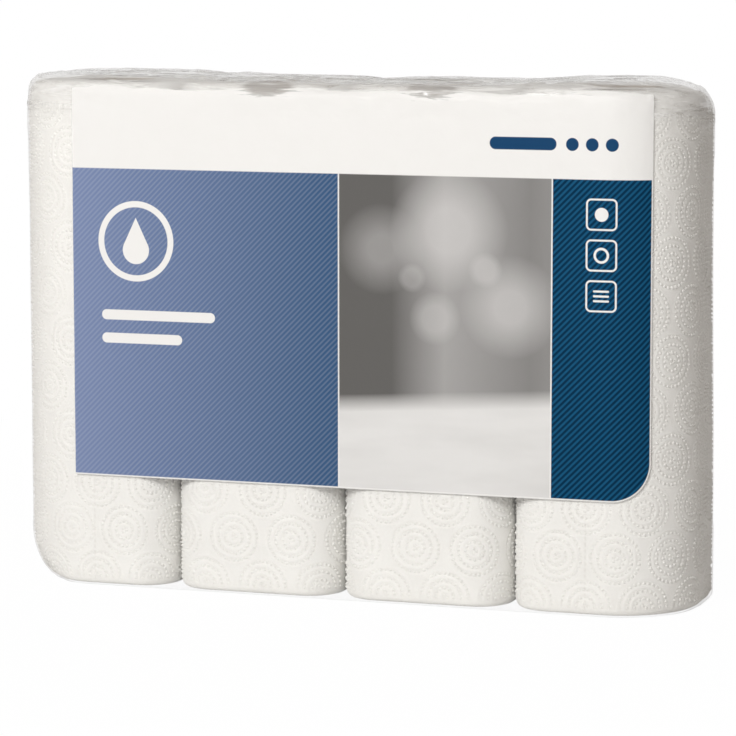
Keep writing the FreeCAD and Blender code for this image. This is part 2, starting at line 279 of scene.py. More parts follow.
@dataclass(frozen=True)
class PaperFinish:
    """Soft white tissue: fibres, mottling, quilted rosettes with painted shade in their furrows and painted
    light on their pillows, perforations and the turns on its ends.
    """

    colour: Colour = (0.86, 0.853, 0.82)
    shade: Colour = (0.7, 0.68, 0.64)
    perforation_pitch: float = 3.2
    turn_count: float = 46.0
    rosette_pitch: tuple[float, float] = (30.3, 48.8)
    rosette_radius: float = 12.3
    ring_pitch: float = 3.8
    perforated: tuple[float, float] = (2.0, 258.0)
    embossed: tuple[float, float] = (4.0, 253.0)

    def furrows(self, graph: MaterialGraph) -> Signal:
        """Relief of the furrows in which the rings of dots stand: 1 in a furrow and -1 on the pillows."""
        column, row, _ = graph.split(graph.socket("ShaderNodeUVMap", {"uv_map": ROSETTE_MAP}))
        wide, high = self.rosette_pitch
        off, other = (graph.distance(((column + shift).part() - 0.5) * wide,
                                     ((row + shift).part() - 0.5) * high) for shift in (0.5, 0.0))
        off = off.least(other)
        wave = (off - self.rosette_radius) * (2 * math.pi / self.ring_pitch)
        return wave.math("COSINE", wave) * off.below(self.rosette_radius + 1.6, 2.0)

    def make(self) -> bpy.types.Material:
        """Build the material."""
        graph = MaterialGraph("tissue_paper")
        place = graph.place()
        along, up = graph.wrapped()
        fibres = graph.cloud(place, 1400.0, 4.0, 0.6)
        mottle = graph.cloud(place, 60.0, 3.0)
        quilt = graph.cloud(place, 190.0, 1.0)
        low, high = self.perforated
        cuts = (up / self.perforation_pitch).part().below(0.62, 0.2)
        perforation = along.size().below(0.35, 0.3) * cuts * up.above(low, 0.5) * up.below(high, 0.5)
        turns = ((up - END_UP) * (self.turn_count / END_REACH)).part()
        line = (turns - 0.5).size().below(0.17, 0.22) * up.above(END_UP, 1.0)
        low, high = self.embossed
        furrow_relief_and_shade = self.furrows(graph) * up.above(low, 2.0) * up.below(high, 3.0)
        shade = (fibres - 0.42) * 0.5 + (mottle - 0.45) * 0.55
        # Painted shade: the rosettes' furrows are darkened and their pillows lightened in the colour, on
        # top of their bumped relief.
        shade = shade + perforation * 0.45 + line * 0.6 + furrow_relief_and_shade * 0.16
        colour = graph.blend(shade, self.colour, self.shade)
        relief = fibres * 0.25 + quilt * 0.6 - perforation * 0.8 - line
        normal = graph.bump(relief, 0.5, 0.25 * MM, graph.bump(furrow_relief_and_shade, 1.0, -0.13 * MM))
        return graph.finish({"Base Color": colour, "Roughness": 0.95, "Specular IOR Level": 0.15,
                             "Sheen Weight": 0.15, "Sheen Roughness": 0.6, "Normal": normal})


@dataclass(frozen=True)
class CardboardFinish:
    """Grey-brown core board, wound from strips whose joints run round it."""

    colour: Colour = (0.42, 0.33, 0.235)
    fleck: Colour = (0.25, 0.19, 0.13)
    strip_pitch: float = 62.0

    def make(self) -> bpy.types.Material:
        """Build the material."""
        graph = MaterialGraph("core_board")
        place = graph.place()
        x, y, z = graph.split(place)
        pitch = frame_pitch() * MM
        local = (x + pitch * 2.0).wrap(pitch) - pitch / 2
        angle = local.math("ARCTAN2", y, local) * (1 / (2 * math.pi))
        joint = (z * (1 / (self.strip_pitch * MM)) + angle).part()
        seam = (joint - 0.5).size().below(0.012, 0.01)
        fibres = graph.cloud(place, 500.0, 5.0, 0.4)
        flecks = graph.cloud(place, 1500.0, 2.0).above(0.64, 0.08)
        shade = (fibres - 0.4) * 0.9 + flecks * 0.35 + seam * 0.6
        colour = graph.blend(shade, self.colour, self.fleck)
        normal = graph.bump(fibres * 0.4 - seam, 0.4, 0.2 * MM)
        return graph.finish({"Base Color": colour, "Roughness": 0.85, "Normal": normal})


@dataclass(frozen=True)
class PrintLayout:
    """Where the ink lies on the film's front, in millimetres along the wrap and up, and its colours."""

    left: float = -141.8
    panel_left: float = 2.4
    teal_left: float = 113.0
    right: float = 163.0
    bottom: float = 58.9
    top: float = 217.0
    white_top: float = 258.5
    corner: float = 19.0
    rule: float = 0.7
    blue_left: Colour = (0.183, 0.24, 0.405)
    blue_right: Colour = (0.034, 0.09, 0.197)
    teal: Colour = (0.0, 0.026, 0.064)
    teal_line: Colour = (0.007, 0.085, 0.19)
    white: Colour = (0.83, 0.825, 0.805)
    ink: Colour = (0.01, 0.055, 0.14)
    panel_dark: Colour = (0.125, 0.122, 0.117)
    panel_pale: Colour = (0.7, 0.69, 0.68)
    table: Colour = (0.74, 0.735, 0.72)
    table_grain: Colour = (0.57, 0.565, 0.55)
    table_rise: float = 46.0
    blue_stripe: float = 2.8
    teal_stripe: float = 3.1


class FilmPrint:
    """The ink on the film: fields of colour, pinstripes and plain shapes."""

    GLOWS = ((25.0, 180.0, 15.0, 16.0, 0.3), (60.0, 190.0, 21.0, 20.0, 0.5), (92.0, 153.0, 17.0, 18.0, 0.5),
             (53.0, 146.0, 10.0, 7.0, 0.3), (79.0, 171.0, 7.0, 4.0, 0.3), (41.0, 166.0, 6.0, 3.0, 0.2))
    RING, DROP = (-107.0, 180.0, 19.0, 3.2), (-107.0, 175.5, 7.2)
    BARS = ((-95.0, 142.0, (31.0, 2.6), 2.5), (-104.0, 130.0, (22.0, 2.6), 2.5))
    SIGN, SIGN_UPS, SIGN_FRAME = 138.0, (200.0, 180.0, 160.0), ((7.4, 7.4), 2.2, 0.9)
    SIGN_DISC, SIGN_RING, SIGN_LINE, SIGN_LINES = 3.4, (3.3, 1.2), ((4.0, 0.5), 0.45), (-2.4, 0.0, 2.4)
    TAG, TAG_DOTS, TAG_UP, TAG_DOT = (98.0, 234.0, (17.0, 3.1), 3.0), (123.0, 133.0, 143.0), 234.0, 3.2

    def __init__(self, graph: MaterialGraph, layout: PrintLayout, along: Signal, up: Signal) -> None:
        """Keep the tree, the layout and the place on the film."""
        self.graph = graph
        self.layout = layout
        self.along = along
        self.up = up

    def from_point(self, along: float, up: float) -> tuple[Signal, Signal]:
        """Place measured from a point of the print."""
        return self.along - along, self.up - up

    def disc(self, along: float, up: float, radius: float, soft: float = 0.3) -> Signal:
        """Mask of a disc."""
        return self.graph.distance(*self.from_point(along, up)).below(radius, soft)

    def ring(self, along: float, up: float, radius: float, line: float) -> Signal:
        """Mask of a ring whose line is centred on the radius."""
        off = (self.graph.distance(*self.from_point(along, up)) - radius).size()
        return off.below(line / 2, 0.3)

    def plate_distance(self, along: float, up: float, half: tuple[float, float], corner: float) -> Signal:
        """Distance beyond the middle lines of a rounded rectangle's corners."""
        across, rise = self.from_point(along, up)
        return self.graph.distance((across.size() - (half[0] - corner)).most(0.0),
                                   (rise.size() - (half[1] - corner)).most(0.0))

    def plate(self, along: float, up: float, half: tuple[float, float], corner: float) -> Signal:
        """Mask of a rounded rectangle."""
        return self.plate_distance(along, up, half, corner).below(corner, 0.3)

    def plate_line(self, along: float, up: float, half: tuple[float, float], corner: float,
                   line: float) -> Signal:
        """Mask of a rounded rectangle's outline."""
        off = (self.plate_distance(along, up, half, corner) - corner).size()
        return off.below(line / 2, 0.3)

    def drop(self, along: float, up: float, radius: float) -> Signal:
        """Mask of a drop that stands on its round end."""
        across, rise = self.from_point(along, up)
        cone = ((2.3 * radius - rise) * 0.48 - across.size()).above(0.0, 0.3)
        cone = cone * rise.above(0.35 * radius, 0.3)
        return self.graph.distance(across, rise).below(radius, 0.3).most(cone)

    def stripes(self, period: float, share: float) -> Signal:
        """Mask of pinstripes that rise to the right."""
        phase = ((self.along - self.up) * (1 / period)).part()
        return (phase - 0.5).size().below(share / 2, 0.22)

    def fields(self) -> tuple[Signal, Socket]:
        """The fields of colour.

        Returns:
            The mask of all ink, and the ink's colour.
        """
        graph, layout = self.graph, self.layout
        corner_right = layout.right - layout.corner
        corner_up = layout.bottom + layout.corner
        off_corner = graph.distance((self.along - corner_right).most(0.0), (corner_up - self.up).most(0.0))
        inside = self.along.above(layout.left, 0.4)
        panel = off_corner.below(layout.corner, 0.4) * inside * self.up.below(layout.top, 0.4)
        torn = graph.cloud(graph.join(self.along * 0.03, self.up * 0.3), 1.0, 3.0) - 0.5
        under = (self.up + torn * 12.0).below(layout.white_top, 2.0)
        ink = off_corner.below(layout.corner + layout.rule, 0.4) * inside * under
        share = (self.along - layout.left) * (1 / (layout.panel_left - layout.left))
        blue = graph.blend(share, layout.blue_left, layout.blue_right)
        pale = graph.blend(0.1, blue, layout.white)
        blue = graph.blend(self.stripes(layout.blue_stripe, 0.4), blue, pale)
        teal = graph.blend(self.stripes(layout.teal_stripe, 0.45), layout.teal, layout.teal_line)
        colour = graph.blend(self.along.above(layout.panel_left, 0.3), blue, self.picture())
        colour = graph.blend(self.along.above(layout.teal_left, 0.3), colour, teal)
        rules = reduce(Signal.most, [(self.along - place).size().below(layout.rule / 2, 0.3)
                                     for place in (layout.panel_left, layout.teal_left)])
        colour = graph.blend(rules, colour, layout.white)
        return ink, graph.blend(panel, layout.white, colour)

    def picture(self) -> Socket:
        """The grey panel: a soft room out of focus above a pale table."""
        graph, layout = self.graph, self.layout
        light = (self.along - 58.0).size().below(22.0, 44.0) * 0.45 + (self.along - 64.0) * 0.005
        room = graph.blend(light, layout.panel_dark, layout.panel_pale)
        for along, up, radius, soft, strength in self.GLOWS:
            room = graph.blend(self.disc(along, up, radius, soft) * strength, room, layout.panel_pale)
        table = (layout.bottom + layout.table_rise - self.up + (self.along - 60.0) * 0.06).above(0.0, 9.0)
        grain = graph.cloud(graph.join(self.along * 0.012, self.up * 0.05), 1.0, 3.0)
        pale = graph.blend((grain - 0.42) * 1.4, layout.table, layout.table_grain)
        return graph.blend(table, room, pale)

    def motifs(self) -> tuple[Signal, Signal]:
        """Plain shapes.

        Returns:
            The mask of white shapes and the mask of dark ones.
        """
        disc_up, ring_up, lines_up = self.SIGN_UPS
        white = [self.ring(*self.RING), self.drop(*self.DROP)]
        white += [self.plate(*bar) for bar in self.BARS]
        white += [self.plate_line(self.SIGN, up, *self.SIGN_FRAME) for up in self.SIGN_UPS]
        white.append(self.disc(self.SIGN, disc_up, self.SIGN_DISC))
        white.append(self.ring(self.SIGN, ring_up, *self.SIGN_RING))
        white += [self.plate(self.SIGN, lines_up + rise, *self.SIGN_LINE) for rise in self.SIGN_LINES]
        dark = [self.plate(*self.TAG)]
        dark += [self.disc(along, self.TAG_UP, self.TAG_DOT) for along in self.TAG_DOTS]
        return reduce(Signal.most, white), reduce(Signal.most, dark)


@dataclass(frozen=True)
class FilmFinish:
    """Thin clear film with its print, milky where it is gathered, with painted shade in dark streaks, over
    the bores and where it is seen edge-on, and painted glints in pale streaks.
    """

    layout: PrintLayout = PrintLayout()
    clear: Colour = (0.93, 0.93, 0.92)
    # Painted shade: colour of the film where it is seen edge-on.
    edge: Colour = (0.6, 0.58, 0.55)
    # Painted shade: colour of the dark streaks in the crinkled film.
    crinkle_shade: Colour = (0.3, 0.27, 0.24)
    # Painted shade: places and sizes of the dark patches over the bores.
    bore_shades: tuple[tuple[float, float, float, float], ...] = (
        (-113.0, 276.0, 26.0, 12.0), (-36.0, 260.0, 20.0, 8.0), (50.0, 261.0, 19.0, 9.0),
        (142.0, 265.0, 26.0, 6.0))
    haze: float = 0.05
    gather_haze: float = 0.34

    def make(self) -> bpy.types.Material:
        """Build the material."""
        graph = MaterialGraph("printed_film")
        along, up = graph.wrapped()
        ink_print = FilmPrint(graph, self.layout, along, up)
        ink, colour = ink_print.fields()
        white, dark = ink_print.motifs()
        colour = graph.blend(white, colour, self.layout.white)
        colour = graph.blend(dark, colour, self.layout.ink)
        gather = graph.signal("ShaderNodeAttribute", {"attribute_name": GATHER_ATTRIBUTE}, None, "Fac")
        streaks = graph.cloud(graph.join(along * 0.035, up * 0.42), 1.0, 3.0, 0.8)
        # Painted shade: dark patches where the shaded bores lie under the gathered film.
        bore_shade = self.bore_shade(graph, along, up, streaks)
        ink = ink * bore_shade.below(0.6, 0.5)
        # Painted shade: dark grey-brown streaks where the gathered film's crinkles lie in shade.
        crinkle_shade_mask = (streaks + bore_shade * 0.32).above(0.62, 0.1) * gather
        # Painted glints: pale milky streaks in the gathered film.
        crinkle_glint_mask = streaks.below(0.4, 0.08) * gather
        facing = graph.signal("ShaderNodeLayerWeight", None, {"Blend": 0.35}, "Facing")
        # Painted shade: the film's colour turns greyer where it is seen edge-on.
        clear = graph.blend(facing.power(3.0), self.clear, self.edge)
        clear = graph.blend(crinkle_shade_mask, clear, self.crinkle_shade)
        opacity = self.haze + facing.power(3.0) * 0.4 + gather * self.gather_haze \
            + crinkle_shade_mask * (0.12 + bore_shade * 0.6) + crinkle_glint_mask * 0.3
        opacity = opacity.least(0.9).most(ink)
        crumple = graph.cloud(graph.join(along * 0.16, up * 0.12), 1.0, 3.0, 0.5)
        fine = graph.cloud(graph.join(along * 0.5, up * 0.5), 1.0, 2.0)
        relief = crumple * 0.7 + fine * 0.3 * (1 - ink)
        normal = graph.bump(relief, 0.25, 1.0 * MM)
        return graph.finish({"Base Color": graph.blend(ink, clear, colour), "Roughness": 0.3,
                             "Specular IOR Level": 0.06, "Coat Weight": 1 - ink,
                             "Coat Roughness": 0.12, "Alpha": opacity, "Normal": normal})

    def bore_shade(self, graph: MaterialGraph, along: Signal, up: Signal, streaks: Signal) -> Signal:
        """Mask of the ragged places painted dark as the shade inside the bores under the film."""
        offs = [graph.distance((along - middle) * (1 / reach), (up - height) * (1 / rise))
                for middle, height, reach, rise in self.bore_shades]
        return (reduce(Signal.least, offs) + (streaks - 0.5) * 2.4).below(0.6, 0.8)


@dataclass(frozen=True)
class Outline:
    """Rounded outline of a roll or of the pack, seen from above, in millimetres."""

    left: float
    right: float
    depth: float
    left_radius: float
    right_radius: float

    def runs(self) -> list[tuple[str, float, tuple[float, ...]]]:
        """Lines and arcs, counter-clockwise from the middle of the back."""
        left_x = self.left_radius - self.left
        right_x = self.right - self.right_radius
        left_y = self.depth - self.left_radius
        right_y = self.depth - self.right_radius
        middle = (left_x + right_x) / 2
        quarter = math.pi / 2
        return [
            ("line", middle - left_x, (middle, self.depth, -1.0, 0.0)),
            ("arc", quarter * self.left_radius, (left_x, left_y, self.left_radius, quarter)),
            ("line", 2 * left_y, (-self.left, left_y, 0.0, -1.0)),
            ("arc", quarter * self.left_radius, (left_x, -left_y, self.left_radius, 2 * quarter)),
            ("line", right_x - left_x, (left_x, -self.depth, 1.0, 0.0)),
            ("arc", quarter * self.right_radius, (right_x, -right_y, self.right_radius, 3 * quarter)),
            ("line", 2 * right_y, (self.right, -right_y, 0.0, 1.0)),
            ("arc", quarter * self.right_radius, (right_x, right_y, self.right_radius, 0.0)),
            ("line", right_x - middle, (right_x, self.depth, -1.0, 0.0)),
        ]

    def length(self) -> float:
        """Length all round."""
        return sum(length for _, length, _ in self.runs())

    def points(self, count: int) -> tuple[Array, Array, Array]:
        """Evenly spaced points.

        Args:
            count: how many points there are.

        Returns:
            Places and outward directions, both in rows of x and y, and the way along the outline.
        """
        runs = self.runs()
        ways = np.arange(count) * self.length() / count
        places, outwards = [], []
        for way in ways:
            rest = float(way)
            for kind, length, facts in runs:
                if rest <= length:
                    break
                rest -= length
            if kind == "line":
                x, y, step_x, step_y = facts
                places.append((x + rest * step_x, y + rest * step_y))
                outwards.append((step_y, -step_x))
            else:
                x, y, radius, start = facts
                angle = start + rest / radius
                outwards.append((math.cos(angle), math.sin(angle)))
                places.append((x + radius * math.cos(angle), y + radius * math.sin(angle)))
        return np.array(places), np.array(outwards), ways


class Surface:
    """A mesh made of rings of points, joined by faces."""

    def __init__(self, name: str, count: int) -> None:
        """Start a surface whose rings have that many points."""
        self.name = name
        self.count = count
        self.rings: list[Array] = []
        self.ups: list[Array] = []

    def add(self, ring: Array, up: float | Array) -> None:
        """Add a ring of points in millimetres, and its place up the wrap."""
        self.rings.append(ring)
        self.ups.append(np.broadcast_to(up, (self.count,)))

    def build(self, ways: Array, length: float, run: Run, origin: float) -> bpy.types.Object:
        """Make the mesh object.

        Args:
            ways: way of each column along the outline.
            length: length of the whole outline.
            run: whether the last ring joins the first.
            origin: way at which the wrap's map is 0.

        Returns:
            The object, with a wrap map.
        """
        count, rows = self.count, len(self.rings)
        points = np.concatenate(self.rings) * MM
        columns = np.arange(count)
        after = (columns + 1) % count
        faces, corners = [], []
        all_ways = np.append(ways, length) - origin
        for row in range(rows if run is Run.CLOSED else rows - 1):
            above = (row + 1) % rows
            quad = np.stack([row * count + columns, row * count + after,
                             above * count + after, above * count + columns], axis=1)
            faces.append(quad)
            lower, upper = self.ups[row], self.ups[above]
            if run is Run.CLOSED and above == 0:
                upper = lower
            corners.append(np.stack([
                np.stack([all_ways[:-1], lower], 1), np.stack([all_ways[1:], lower[after]], 1),
                np.stack([all_ways[1:], upper[after]], 1), np.stack([all_ways[:-1], upper], 1)], axis=1))
        mesh = bpy.data.meshes.new(self.name)
        mesh.from_pydata(points.tolist(), [], np.concatenate(faces).tolist())
        layer = mesh.uv_layers.new(name=WRAP_MAP)
        layer.data.foreach_set("uv", (np.concatenate(corners) * MM).astype(np.float32).ravel())
        mesh.polygons.foreach_set("use_smooth", [True] * len(mesh.polygons))
        return placed(self.name, mesh)


def merged(piece: bpy.types.Object, distance: float) -> None:
    """Merge a piece's doubled points and turn its faces outwards."""
    mesh = bmesh.new()
    mesh.from_mesh(piece.data)
    bmesh.ops.remove_doubles(mesh, verts=mesh.verts[:], dist=distance)
    bmesh.ops.dissolve_degenerate(mesh, edges=mesh.edges[:], dist=distance / 10)
    bmesh.ops.recalc_face_normals(mesh, faces=mesh.faces[:])
    mesh.to_mesh(piece.data)
    mesh.free()


def frame_pitch() -> float:
    """Distance between the middles of two neighbouring rolls, in millimetres."""
    first, second = (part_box("core_%d" % number) for number in (1, 2))
    return (second[0].x - first[0].x) / MM


def ease(value: Array) -> Array:
    """Smooth rise from 0 to 1, held outside that."""
    share = np.clip(value, 0.0, 1.0)
    return share * share * (3 - 2 * share)


def rise(value: Array, span: tuple[float, float]) -> Array:
    """Smooth rise from 0 to 1 over a span given by its start and its length."""
    return ease((value - span[0]) / span[1])


def quarter(value: Array) -> Array:
    """Quarter circle that falls from 1 at 0 to 0 at 1."""
    return 1 - np.sqrt(1 - (1 - np.clip(value, 0.0, 1.0)) ** 2)


def field_noise(points: Iterable[Sequence[float]]) -> Array:
    """Smooth noise between -1 and 1 at each point."""
    return np.array([noise.noise(point) for point in points])


@dataclass(frozen=True)
class Settling:
    """How the pack has settled: crushed corners and a slight lean; sizes in millimetres.

    Each foot and crown gives its side of the pack, how far it reaches in and how high it is. A range gives
    where a rise from 0 to 1 starts and how long it is.
    """

    half_length: float = 181.4
    height: float = 261.5
    rigid: float = 158.0
    corner_give: float = 19.4
    feet: tuple[tuple[int, float, float], ...] = ((-1, 20.5, 26.0), (1, 3.0, 5.0))
    crowns: tuple[tuple[int, float, float], ...] = ((-1, 18.0, 9.0), (1, 42.0, 17.0))
    lean: float = 1.9
    corner_range: tuple[float, float] = (24.0, 16.0)
    crown_range: tuple[float, float] = (2.0, 30.0)
    crown_front: float = 0.3
    lean_range: tuple[float, float] = (40.0, 160.0)

    def moved(self, points: Array) -> Array:
        """Where points of the taut pack lie once it has settled.

        Args:
            points: rows of x, y and z.

        Returns:
            The settled points.
        """
        x, y, z = points.T.copy()
        rigid = self.rigid - self.corner_give * rise(np.abs(y), self.corner_range)
        for side, reach, high in self.feet:
            weight = np.clip((x * side - rigid) / (self.half_length - rigid), 0.0, 1.0)
            x -= side * weight * reach * quarter(z / high)
        for side, reach, drop in self.crowns:
            low = np.clip((z - self.height + 2 * drop) / (2 * drop), 0.0, 1.0)
            back = self.crown_front + (1 - self.crown_front) * rise(y, self.crown_range)
            z -= drop * quarter((self.half_length - x * side) / reach) * low * back
        right = np.clip((x - self.rigid) / (self.half_length - self.rigid), 0.0, 1.0)
        return np.column_stack([x - self.lean * right * rise(z, self.lean_range), y, z])

    def settle(self, piece: bpy.types.Object) -> None:
        """Move a piece's points to their settled places."""
        mesh = piece.data
        points = np.empty(len(mesh.vertices) * 3)
        mesh.vertices.foreach_get("co", points)
        settled = self.moved(points.reshape(-1, 3) / MM) * MM
        mesh.vertices.foreach_set("co", settled.ravel())
        mesh.update()


@dataclass(frozen=True)
class Embossing:
    """Raised dots in ringed rosettes, wrapped round a roll; sizes in millimetres."""

    column_pitch: float = 30.0
    row_pitch: float = 24.4
    rings: tuple[tuple[float, int], ...] = ((12.3, 32), (8.5, 22), (4.6, 12), (1.2, 3))
    dot_radius: float = 0.92
    dot_height: float = 1.0
    sink: float = 0.05
    spread: tuple[float, float] = (0.9, 1.1)
    reach: float = 280.0
    corner_steps: int = 14
    sides: int = 6

    def tree(self, paper: bpy.types.Material) -> bpy.types.NodeTree:
        """Build the node tree.

        Args:
            paper: material of the dots.

        Returns:
            The tree, whose inputs are the roll's sizes in metres, a phase and a seed.
        """
        tree = bpy.data.node_groups.new("embossed_dots", "GeometryNodeTree")
        floats = ("Left", "Right", "Depth", "Left Radius", "Right Radius", "Low", "High", "Phase")
        tree.interface.new_socket("Geometry", in_out="INPUT", socket_type="NodeSocketGeometry")
        for name in floats:
            tree.interface.new_socket(name, in_out="INPUT", socket_type="NodeSocketFloat")
        tree.interface.new_socket("Seed", in_out="INPUT", socket_type="NodeSocketInt")
        tree.interface.new_socket("Geometry", in_out="OUTPUT", socket_type="NodeSocketGeometry")
        graph = Graph(tree)
        inputs = graph.node("NodeGroupInput")
        *sizes, low, high, phase = (Signal(graph, inputs.outputs[name]) for name in floats)
        position = graph.socket("GeometryNodeInputPosition")
        outline = self.outline(graph, position, sizes)
        length = graph.signal("GeometryNodeCurveLength", None, {0: outline})
        rosettes = self.layout(graph, position, length, low, high)
        dot = graph.socket("GeometryNodeMeshCone", {"fill_type": "NONE"}, {
            "Vertices": self.sides, "Radius Top": 0.0, "Radius Bottom": self.dot_radius * MM,
            "Depth": self.dot_height * MM})
        smallest, largest = self.spread
        spread = graph.signal("FunctionNodeRandomValue", {"data_type": "FLOAT"},
                              {2: smallest, 3: largest, "Seed": inputs.outputs["Seed"]}, 1)
        dots = graph.socket("GeometryNodeInstanceOnPoints", None,
                            {"Points": rosettes, "Instance": dot, "Scale": spread})
        dots = graph.socket("GeometryNodeRealizeInstances", None, {0: dots})
        wrapped = self.wrapped(graph, position, outline, length, phase, dots)
        smooth = graph.socket("GeometryNodeSetShadeSmooth", None, {0: wrapped})
        whole = graph.socket("GeometryNodeRealizeInstances", None, {0: smooth})
        dressed = graph.socket("GeometryNodeSetMaterial", None, {"Geometry": whole, "Material": paper})
        graph.node("NodeGroupOutput", None, {0: dressed})
        return tree

    def outline(self, graph: Graph, position: Socket,
                sizes: Sequence[Signal]) -> Socket:
        """The roll's rounded outline as a curve."""
        left, right, depth, left_radius, right_radius = sizes
        middle = (right - left) / 2
        box = graph.socket("GeometryNodeCurvePrimitiveQuadrilateral", {"mode": "RECTANGLE"},
                           {"Width": left + right, "Height": depth * 2})
        moved = graph.socket("GeometryNodeTransform", None,
                             {"Geometry": box, "Translation": graph.join(middle)})
        across, _, _ = graph.split(position)
        on_right = across.math("GREATER_THAN", across, middle)
        radius = left_radius + (right_radius - left_radius) * on_right
        return graph.socket("GeometryNodeFilletCurve", {"mode": "POLY"}, {
            "Curve": moved, "Radius": radius, "Count": self.corner_steps})

    def layout(self, graph: Graph, position: Socket, length: Signal, low: Signal,
               high: Signal) -> Socket:
        """Flat points of all dots: x runs along the wrap and y up the roll."""
        rosette = graph.node("GeometryNodeJoinGeometry")
        for radius, count in self.rings:
            ring = graph.socket("GeometryNodeMeshCircle", {"fill_type": "NONE"},
                                {"Vertices": count, "Radius": radius * MM})
            graph.feed(rosette.inputs[0], ring)
        turns = length * (1 / (self.column_pitch * MM))
        columns = turns.math("ROUND", turns)
        step = length / columns
        rows = int(self.reach / (2 * self.row_pitch)) + 1
        lattice = graph.node("GeometryNodeJoinGeometry")
        for half in (0.0, 0.5):
            grid = graph.socket("GeometryNodeMeshGrid", None, {
                "Size X": length - step, "Size Y": (rows - 1) * 2 * self.row_pitch * MM,
                "Vertices X": columns, "Vertices Y": rows})
            lift = ((rows - 1) * self.row_pitch + half * 2 * self.row_pitch) * MM
            moved = graph.socket("GeometryNodeTransform", None, {
                "Geometry": grid, "Translation": graph.join(step * half, low + lift)})
            graph.feed(lattice.inputs[0], moved)
        stood = graph.socket("GeometryNodeInstanceOnPoints", None,
                             {"Points": lattice.outputs[0], "Instance": rosette.outputs[0]})
        flat = graph.socket("GeometryNodeRealizeInstances", None, {0: stood})
        points = graph.socket("GeometryNodeMeshToPoints", None, {0: flat})
        _, up, _ = graph.split(position)
        outside = up.math("LESS_THAN", up, low).most(up.math("GREATER_THAN", up, high))
        return graph.socket("GeometryNodeDeleteGeometry", {"domain": "POINT"},
                            {"Geometry": points, "Selection": outside})

    def wrapped(self, graph: Graph, position: Socket, outline: Socket,
                length: Signal, phase: Signal, dots: Socket) -> Socket:
        """Bend the flat dots round the outline."""
        along, up, height = graph.split(position)
        way = (along + phase + length).wrap(length)
        sample = graph.node("GeometryNodeSampleCurve", {"mode": "LENGTH", "use_all_curves": True},
                            {"Curves": outline, "Length": way})
        cross = graph.socket("ShaderNodeVectorMath", {"operation": "CROSS_PRODUCT"},
                             {0: sample.outputs["Tangent"], 1: (0.0, 0.0, 1.0)})
        side = graph.signal("ShaderNodeVectorMath", {"operation": "DOT_PRODUCT"},
                            {0: cross, 1: sample.outputs["Position"]}, "Value")
        out = (height - self.sink * MM) * side.math("SIGN", side)
        push = graph.socket("ShaderNodeVectorMath", {"operation": "SCALE"}, {0: cross, "Scale": out})
        place = sample.outputs["Position"]
        for part in (push, graph.join(0.0, 0.0, up)):
            place = graph.socket("ShaderNodeVectorMath", {"operation": "ADD"}, {0: place, 1: part})
        return graph.socket("GeometryNodeSetPosition", None, {"Geometry": dots, "Position": place})


